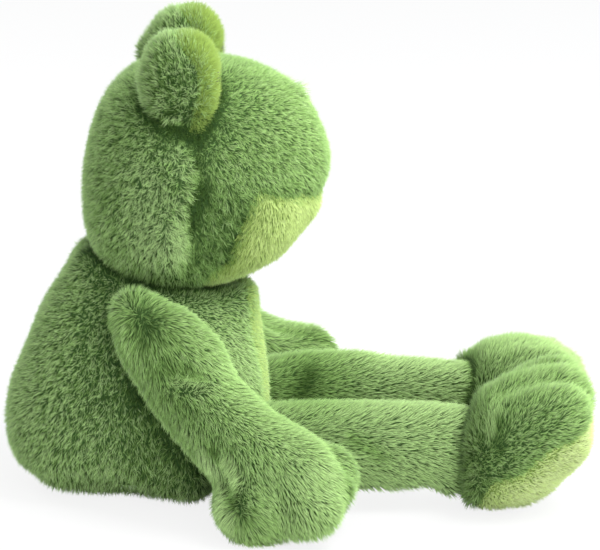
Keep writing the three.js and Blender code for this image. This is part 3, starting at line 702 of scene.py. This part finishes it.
# Painted shade in the cheek pocket, along the side seam's crease and under the mound; painted light on the tufts
# overhanging the seam, on the back of the head beside it and on the crown tuft
headSpots = [
    {"line": [(-66, 46, 184), (-54, 48, 150)], "reach": 15, "shade": -0.3, "rough": 1.4, "length": 1},
    {"line": [(-67, 65, 226), (-69, 62, 213)], "reach": 3, "shade": -0.5, "length": -1},
    {"line": [(-70, 57, 201), (-69, 62, 188)], "reach": 5, "shade": -0.75, "length": -1},
    {"line": [(-69, 64, 186), (-58, 62, 156)], "reach": 4, "shade": -0.4, "length": -1.5},
    {"at": (-70, 70, 220), "reach": 4, "shade": 0.2, "length": 3, "comb": (0, -2.4, -0.9), "rough": 1.2},
    {"at": (-71, 66, 209), "reach": 4, "shade": 0.25, "length": 3.5, "comb": (0, -2.4, -0.2), "rough": 1.2},
    {"at": (-71, 68, 197), "reach": 4, "shade": 0.25, "length": 3, "comb": (0, -2.2, 0.9), "rough": 1.2},
    {"line": [(-70, 74, 186), (-69, 76, 180)], "reach": 5, "shade": 0.15, "length": 2.5, "comb": (0, -2.0, -0.5),
     "rough": 1.2},
    {"line": [(-68, 76, 172), (-62, 75, 158)], "reach": 5, "shade": 0.7, "length": 4, "comb": (0, -1.3, -1.0),
     "rough": 0.8},
    {"line": [(-72, 92, 205), (-66, 86, 165)], "reach": 16, "shade": 0.42},
    {"at": (-64, 62, 232), "reach": 9, "shade": -0.4},
    {"at": (0, 0, 253), "reach": 8, "length": 3.5, "shade": 0.1},
]
torsoFolds = [
    {"line": [(-45, 157, 114), (45, 157, 114)], "depth": -3.2, "width": 28},
    {"line": [(-30, 134, 146), (30, 134, 146)], "depth": -5, "width": 14},
    {"line": [(-50, 178, 57), (50, 178, 57)], "depth": -3, "width": 24},
    {"line": [(-60, 168, 4), (60, 168, 4)], "depth": 5, "width": 14},
    {"line": [(-68, 142, 3), (-68, 112, 3)], "depth": 12.5, "width": 16},
    {"line": [(-73, 70, 6), (-73, 52, 6)], "depth": -6.5, "width": 11},
    {"line": [(-70, 58, 10), (-70, 50, 12)], "depth": -7, "width": 9},
    {"line": [(68, 150, 3), (68, 84, 3)], "depth": 8, "width": 18},
    {"line": [(-74, 91, 52), (-72, 88, 24)], "depth": 5, "width": 6},
    {"line": [(-70, 64, 34), (-68, 60, 6)], "depth": -6.5, "width": 14},
    {"line": [(-20, 31, 122), (20, 31, 122)], "depth": -9.8, "width": 13.5},
    {"line": [(73, 96, 56), (67, 84, 18)], "depth": 4, "width": 7},
    {"line": [(-72, 132, 70), (-74, 118, 92)], "depth": 1.5, "width": 8},
    {"line": [(70, 140, 60), (74, 120, 84)], "depth": 1.5, "width": 8},
]
# Painted light low on the rear and on the belly's sides and front; painted shade behind the arm, along the neck seam
# and along the arm's rear edge
torsoSpots = [
    {"at": (-55, 165, 60), "reach": 28, "shade": 0.12},
    {"at": (55, 165, 60), "reach": 28, "shade": 0.12},
    {"at": (-76, 105, 85), "reach": 28, "shade": -0.12},
    {"at": (-74, 88, 34), "reach": 20, "shade": -0.3},
    {"line": [(-68, 64, 126), (-58, 32, 80)], "reach": 32, "shade": 0.22, "rough": -0.8},
    {"line": [(68, 64, 126), (58, 32, 80)], "reach": 32, "shade": 0.22, "rough": -0.8},
    {"at": (-45, 16, 60), "reach": 30, "shade": 0.2, "rough": -0.2},
    {"at": (45, 16, 60), "reach": 30, "shade": 0.2, "rough": -0.5},
    {"line": [(-20, 131, 148), (-34, 113, 142)], "reach": 4, "shade": -0.7, "length": -2},
    {"line": [(-34, 113, 142), (-47, 93, 139)], "reach": 4, "shade": -0.7, "length": -2},
    {"line": [(-47, 93, 139), (-26, 54, 129)], "reach": 4, "shade": -0.7, "length": -2},
    {"line": [(-76, 111, 122), (-76, 99, 72)], "reach": 5, "shade": -0.5},
    {"line": [(-76, 98, 70), (-74, 66, 26)], "reach": 6, "shade": -0.5},
]
moundFolds = [{"line": [(-50, 98, 262), (-50, 96, 250)], "depth": -2.5, "width": 11}]
# Painted shade on the mound's lower part and its rear, painted light on its top
moundSpots = [
    {"at": (-72, 66, 244), "reach": 16, "shade": -0.45, "rough": 1.2, "length": 1},
    {"at": (-70, 80, 268), "reach": 14, "shade": -0.15},
    {"at": (-60, 60, 290), "reach": 14, "shade": 0.15},
    {"at": (-50, 45, 262), "reach": 9, "length": -0.3, "rough": -0.5},
]
armFolds = [
    {"line": [(-97, 94, 127), (-97, 93, 126)], "depth": 3, "width": 8},
    {"line": [(-92, 66, 124), (-96, 58, 112)], "depth": -3, "width": 18},
    {"line": [(-90, 62, 128), (-92, 50, 114)], "depth": -5, "width": 15},
    {"line": [(-110, 78, 98), (-110, 60, 92)], "depth": 4, "width": 5},
    {"line": [(-122, 51, 58), (-137, 38, 27)], "depth": 5, "width": 4},
    {"line": [(-120, 60, 48), (-134, 44, 20)], "depth": -1, "width": 6},
    {"line": [(-140, 33.5, 20), (-140, 33, 19)], "depth": 2, "width": 6},
    {"line": [(-120, 40, 14), (-124, 30, 4)], "depth": -6, "width": 15},
    {"line": [(-126, -32, 18), (-130, -28, 6)], "depth": 4, "width": 13},
    {"line": [(-138, -22, 4), (-138, -8, 2)], "depth": 8.5, "width": 12},
    {"line": [(-138, 38, 5), (-138, 20, 3)], "depth": -4, "width": 10},
    {"line": [(-112, -20, 46), (-116, -27, 20)], "depth": 6, "width": 5},
]
# Painted shade in the shoulder dimple, the elbow and wrist folds, the wrist whorl and the finger split; painted light
# on strands beside the folds, on the hand and on the arm's front
armSpots = [
    {"at": (-97, 94, 127), "reach": 9, "shade": -0.5, "length": -1.5, "rough": 1},
    {"line": [(-121, 58, 48), (-137, 41, 20)], "reach": 5.5, "shade": 0.6, "length": 2.5, "comb": (0, 0.4, -0.4)},
    {"line": [(-122, 51, 58), (-138, 38, 27)], "reach": 3, "shade": -0.7, "length": -1},
    {"line": [(-130, 45, 52), (-138, 36, 42)], "reach": 3.5, "shade": 0.3, "length": 2, "comb": (0, 1.5, 0)},
    {"line": [(-106, 90, 116), (-110, 72, 84)], "reach": 12, "shade": -0.25, "rough": 0.6},
    {"line": [(-110, 74, 94), (-110, 60, 88)], "reach": 6, "shade": 0.4, "length": 2, "comb": (0, 0.2, 1.2)},
    {"line": [(-110, 78, 100), (-110, 60, 95)], "reach": 4, "shade": -0.35},
    {"at": (-142, 33.5, 20), "reach": 4, "shade": -0.4, "rough": 0.8},
    {"line": [(-114, -20, 46), (-118, -27, 20)], "reach": 4, "shade": -0.4},
    {"at": (-130, -5, 30), "reach": 30, "shade": 0.14, "rough": -0.8},
    {"line": [(-100, 40, 100), (-116, 14, 66)], "reach": 18, "shade": 0.05, "rough": -0.6},
]
legFolds = [
    {"line": [(-78, -30, 50), (-80, -44, 36)], "depth": 2, "width": 5},
    {"line": [(-30, -3, 62), (-30, 4, 40)], "depth": 3, "width": 6},
    {"line": [(-66, -106, 12), (-66, -91, 12)], "depth": -9, "width": 11},
    {"line": [(-66, -98, 8), (-66, -92, 8)], "depth": -7, "width": 8},
    {"line": [(-66, -63, 16), (-66, -54, 16)], "depth": -2, "width": 10},
]
# Painted shade in the leg's creases and on its inner side towards the body
legSpots = [
    {"line": [(-79, -30, 48), (-81, -46, 36)], "reach": 5, "shade": -0.3},
    {"line": [(-30, -3, 60), (-30, 4, 42)], "reach": 6, "shade": -0.4},
    {"at": (-38, -2, 52), "reach": 32, "shade": -0.4},
]
footFolds = [{"line": [(-62, -152, 8), (-62, -138, 5)], "depth": -6, "width": 12}]
# Painted light on a tuft at the ankle, painted shade below it and over the heel
footSpots = [
    {"line": [(-91, -113, 66), (-92, -116, 54)], "reach": 3.5, "shade": 0.6, "length": 3.5, "comb": (0, 0.9, 1.4)},
    {"line": [(-93, -119, 60), (-93, -119, 46)], "reach": 3, "shade": -0.6, "length": -1},
    {"line": [(-92, -104, 34), (-90, -106, 12)], "reach": 15, "shade": -0.2, "rough": 1},
]

# A form's touches: the forms it meets, each with the strength of the painted shade laid on its pile where they meet
forms = {
    "head": {
        "nodes": ["head_back_left", "head_back_right", "face_panel", "chin_panel", "head_stuffing"],
        "filling": ["head_stuffing"], "body": ["head"], "floor": 100,
        "voxel": 4, "inset": 2.8, "rounding": 6, "cloth": puff, "groove": seam,
        "folds": headFolds + flipped(headFolds) + headMiddle, "shift": {"chin_panel": -2.5},
        "spots": headSpots + flipped(headSpots), "touches": {"torso": 0.9, "moundRight": 1.1, "moundLeft": 1.1},
        "panels": {
            "head_back_left": headPile,
            "head_back_right": headPile,
            "face_panel": {
                **short, "slot": "green_fur", "lean": 0.9, "comb": (0, -0.55, -0.85), "width": 0.62, "density": 1.6,
                "clump": 2.0, "fine": 2.2, "patch": 1.2, "shade": 0.06, "fringe": 3,
            },
            "chin_panel": {**smooth, "lean": 0.9, "comb": (0, 0.5, -0.9), "density": 1.6, "shade": -0.08},
        },
    },
    "torso": {
        "nodes": ["body_back_left", "body_back_right", "belly_panel", "body_stuffing", "seat_pellet_bag"],
        "filling": ["seat_pellet_bag", "body_stuffing"], "body": ["torso"],
        "hull": True, "voxel": 4, "inset": 2.8, "rounding": 4, "cloth": puff, "groove": seam,
        "folds": torsoFolds, "probe": 5, "shift": {"belly_panel": -0.8},
        "spots": torsoSpots, "touches": {"head": 1.6},
        "panels": {
            "body_back_left": backPile,
            "body_back_right": backPile,
            "belly_panel": {**smooth, "lean": 0.8, "density": 1.6, "shade": -0.15},
        },
    },
}
for side, sign in sides:
    onSide = list if side == "right" else flipped
    forms["mound" + side.title()] = {
        "nodes": [named("eye_mound_back", side), named("eye_mound_front", side), named("eye_mound_stuffing", side)],
        "filling": [named("eye_mound_stuffing", side)], "body": ["head"], "floor": 100,
        "hull": True, "sink": {"scale": 0.85, "by": (sign * -5, 0, -18)}, "shrink": 0.15,
        "voxel": 3, "inset": 3.8, "rounding": 4, "cloth": {**puff, "most": 1.0}, "groove": {"depth": 1.2, "width": 2.5},
        "folds": onSide(moundFolds), "shift": {named("eye_mound_front", side): -6},
        "spots": onSide(moundSpots), "touches": {"head": 1.0},
        "bare": {"at": (sign * 50, 45, 262), "reach": 6.2, "depth": 8},
        "panels": {
            named("eye_mound_back", side): {
                **combed, "slot": "green_fur", "length": 4.8, "comb": (0, 0.3, 0.8), "lean": 0.6, "density": 1.7,
                "shade": 0.3, "patch": 2.6, "patchScale": 300.0, "fringe": 12,
            },
            named("eye_mound_front", side): {
                **combed, "slot": "lime_fur", "length": 4.6, "comb": (0, -0.2, 0.8), "lean": 0.6, "density": 1.7,
                "shade": -1.0, "patch": 1.2,
            },
        },
    }
    forms["arm" + side.title()] = {
        "nodes": [named("arm_outer", side), named("arm_inner", side), named("arm_stuffing", side)],
        "filling": [named("arm_stuffing", side)], "body": [named("arm", side)],
        "voxel": 4, "inset": 0.8, "rounding": 5, "cloth": puff, "groove": {"depth": 0.8, "width": 3},
        "folds": onSide(armFolds), "spots": onSide(armSpots), "touches": {"torso": 1.1},
        "panels": {
            named("arm_outer", side): {
                **combed, "slot": "green_fur", "shade": 0.14, "comb": (sign * 0.2, -0.6, -0.8),
                "whorls": [{"at": (sign * 94, 95, 127), "pull": 1.8, "reach": 30},
                           {"at": (sign * 140, 33.5, 20), "pull": 1.7, "reach": 13}],
            },
            named("arm_inner", side): {
                **combed, "slot": "green_fur", "density": 1.1, "shade": 0.12, "comb": (0, -0.6, -0.8),
            },
        },
    }
    forms["leg" + side.title()] = {
        "nodes": [named("leg_sleeve", side), named("leg_stuffing", side)],
        "filling": [named("leg_stuffing", side)],
        "body": ["torso", named("leg", side)], "bend": [(0, 62, 35), (0, 2, 35)],
        "voxel": 4, "inset": 1.8, "rounding": 5, "cloth": puff, "groove": {"depth": 0, "width": 3},
        "folds": onSide(legFolds), "spots": onSide(legSpots), "touches": {"torso": 1.1, "foot" + side.title(): 1.1},
        "panels": {
            named("leg_sleeve", side): {
                **combed, "slot": "green_fur", "comb": (0, -1, 0), "density": 1.15, "shade": 0.36, "patch": 0.3,
                "clump": 1.0, "strand": 0.45, "width": 0.85,
            },
        },
    }
    forms["foot" + side.title()] = {
        "nodes": [named("foot_top", side), named("foot_sole", side), named("foot_stuffing", side)],
        "filling": [named("foot_stuffing", side)], "body": [named("foot", side)], "shrink": 0.06,
        "hull": True, "voxel": 3.5, "inset": 1.8, "rounding": 4, "cloth": {**puff, "most": 1.2},
        "groove": {"depth": 1.2, "width": 3}, "shift": {named("foot_sole", side): -10},
        "folds": onSide(footFolds), "spots": onSide(footSpots), "touches": {"leg" + side.title(): 1.1},
        "panels": {
            named("foot_top", side): {
                **combed, "slot": "green_fur", "comb": (0, -0.8, 0.5), "lean": 0.9, "shade": 0.18,
            },
            named("foot_sole", side): {
                **smooth, "comb": (0, -0.6, 0.6), "lean": 0.8, "density": 1.6, "shade": 0.2,
            },
        },
    }

# Two grooves part the three toes, over the top and down the front; the near foot's run further
toeGrooves = {
    "right": [[(-118, 78), (-148, 90)], [(-148, 90), (-172, 82)], [(-172, 82), (-184, 56)]],
    "left": [[(-140, 84), (-168, 82)], [(-168, 82), (-184, 64)]],
}
for side, sign in sides:
    for ends in toeGrooves[side]:
        for across in (79, 45):
            line = [(sign * across, *end) for end in ends]
            forms["foot" + side.title()]["folds"].append({"line": line, "depth": 5, "width": 6})

# Folds that only one side shows
forms["footLeft"]["folds"] += [
    {"line": [(88, -156, 68), (86, -172, 62)], "depth": 7.5, "width": 16},
    {"line": [(84, -174, 60), (76, -186, 50)], "depth": 9, "width": 14},
    {"line": [(62, -170, 70), (34, -172, 70)], "depth": 3.5, "width": 13},
    {"line": [(62, -140, 76), (62, -176, 70)], "depth": 4, "width": 22},
    {"line": [(88, -112, 66), (88, -130, 74)], "depth": 2, "width": 12},
    {"line": [(88, -102, 54), (80, -102, 56)], "depth": -4, "width": 8},
]
forms["footRight"]["folds"].append({"line": [(-78, -174, 38), (-46, -174, 38)], "depth": -6.5, "width": 18})
forms["moundLeft"]["folds"] += [
    {"line": [(50, 100, 262), (50, 98, 250)], "depth": -6, "width": 12},
    {"line": [(50, 84, 292), (50, 74, 292)], "depth": 1.5, "width": 12},
]
forms["legLeft"]["folds"] += [
    {"line": [(54, -60, 62), (54, -92, 62)], "depth": 2, "width": 16},
    {"line": [(54, -6, 62), (54, -36, 62)], "depth": -2.5, "width": 16},
]
forms["armLeft"]["folds"] += [
    {"line": [(100, 23, 88), (104, 12, 80)], "depth": 12.5, "width": 14},
    {"line": [(118, -20, 52), (118, -12, 56)], "depth": -6, "width": 12},
]
# Painted light: the far foot's top is made lighter than the near foot's
forms["footLeft"]["panels"]["foot_top_left"]["shade"] = 0.28

shapes = {name: makeForm(name, form) for name, form in forms.items()}
formTrees = {name: treeOf(opened(shape.data)) for name, shape in shapes.items()}
print("stuffed forms ready")

# The skin's thickness in mm, the filling's depth in skins, and how far the fur runs past a seam in mm
skinWall = 2.5
fillingGap = 1.3
pileMargin = 6


def attach(piece, form):
    if len(form["body"]) == 1:
        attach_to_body(piece, form["body"][0])
    else:
        start, end = (Vector(p) * mm for p in form["bend"])
        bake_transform(piece, *form["body"], start=start, end=end)


def camelName(node):
    first, *rest = node.split("_")
    return first + "".join(part.title() for part in rest)


def fillForm(name, form):  # the stuffing follows its skin from inside
    bm = opened(shapes[name].data)
    bm.normal_update()
    middle = sum((v.co for v in bm.verts), Vector()) / len(bm.verts)
    shrink = form.get("shrink", 0)
    inner = [(v.co - v.normal * skinWall * fillingGap * mm).lerp(middle, shrink) for v in bm.verts]
    for vertex, place in zip(bm.verts, inner):
        vertex.co = place
    for node in form["filling"]:
        part = bm.copy()
        if len(form["filling"]) > 1:
            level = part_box("seat_pellet_bag")[1].z
            upper = node == "body_stuffing"
            cut = bmesh.ops.bisect_plane(
                part, geom=part.verts[:] + part.edges[:] + part.faces[:], plane_co=(0, 0, level), plane_no=(0, 0, 1),
                clear_inner=upper, clear_outer=not upper)
            rim = [e for e in cut["geom_cut"] if isinstance(e, bmesh.types.BMEdge)]
            bmesh.ops.contextual_create(part, geom=rim)
        piece = newPiece(camelName(node) + "Filling", part)
        piece.data.materials.append(materials[slotOf[node]])
        piece.data.shade_smooth()
        dropFields(piece)
        attach(piece, form)
        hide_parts(node)
    bm.free()


def makeSkin(stem, panel, shape, form, fur):
    skin = panelMesh(stem + "Skin", shape, panel, 0)
    skin.data.materials.append(materials[backings[fur["slot"]]])
    wall = skin.modifiers.new("wall", "SOLIDIFY")
    wall.thickness = skinWall * mm
    wall.offset = -1
    applyModifiers(skin)
    skin.data.shade_smooth()
    dropFields(skin)
    attach(skin, form)
    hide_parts(panel)
    return skin


tuftCount = 0
for formName, form in forms.items():
    fillForm(formName, form)
    touching = [(formTrees[other], touchShade) for other, touchShade in form["touches"].items()]
    for panel, fur in form["panels"].items():
        stem = camelName(panel)
        skin = makeSkin(stem, panel, shapes[formName], form, fur)
        coat = panelMesh(stem + "Fur", shapes[formName], panel, pileMargin + fur["fringe"])
        layFur(coat, panel, fur, form, touching, formTrees[formName])
        attach(coat, form)
        tuftCount += len(coat.data.polygons) // len(tuft.data.polygons)
        print(stem, len(skin.data.polygons), len(coat.data.polygons))
for shape in shapes.values():
    bpy.data.objects.remove(shape)
print("skins and fur ready, tufts:", tuftCount)

# Eyes: polished domes turned on their own axis, sunk in the light fronts of the mounds
eye = {"radius": 7, "bulge": 3.2, "rim": 0.5, "sunk": 6.6, "stemRadius": 2.2, "stem": 6, "steps": 8, "segments": 48}
facing = Vector((0, 0, 1)).rotation_difference(Vector((0, -1, 0))).to_matrix()
for side, sign in sides:
    low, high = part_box(named("eye", side))
    bm = bmesh.new()
    outline = [(0, 0, -eye["stem"]), (eye["stemRadius"], 0, -eye["stem"]), (eye["stemRadius"], 0, 0)]
    outline += [(eye["radius"] - eye["rim"], 0, 0), (eye["radius"], 0, eye["rim"])]
    for i in range(1, eye["steps"] + 1):
        turn = math.pi / 2 * i / eye["steps"]
        outline.append((eye["radius"] * math.cos(turn), 0, eye["rim"] + eye["bulge"] * math.sin(turn)))
    ring = [bm.verts.new(Vector(p) * mm) for p in outline]
    edges = [bm.edges.new(pair) for pair in zip(ring, ring[1:])]
    bmesh.ops.spin(bm, geom=ring + edges, axis=(0, 0, 1), cent=(0, 0, 0), angle=2 * math.pi, steps=eye["segments"],
                   use_merge=True)
    bmesh.ops.remove_doubles(bm, verts=bm.verts, dist=2 * weld)
    bmesh.ops.rotate(bm, verts=bm.verts, cent=(0, 0, 0), matrix=facing)
    middle = (low + high) / 2
    front = low.y + (eye["bulge"] + eye["sunk"]) * mm
    bmesh.ops.translate(bm, verts=bm.verts, vec=(middle.x, front, middle.z))
    bmesh.ops.recalc_face_normals(bm, faces=bm.faces)
    piece = newPiece("eyeDome" + side.title(), bm)
    piece.data.materials.append(materials["black_plastic"])
    piece.data.shade_smooth()
    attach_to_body(piece, "head")
    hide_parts(named("eye", side))
print("eyes ready")
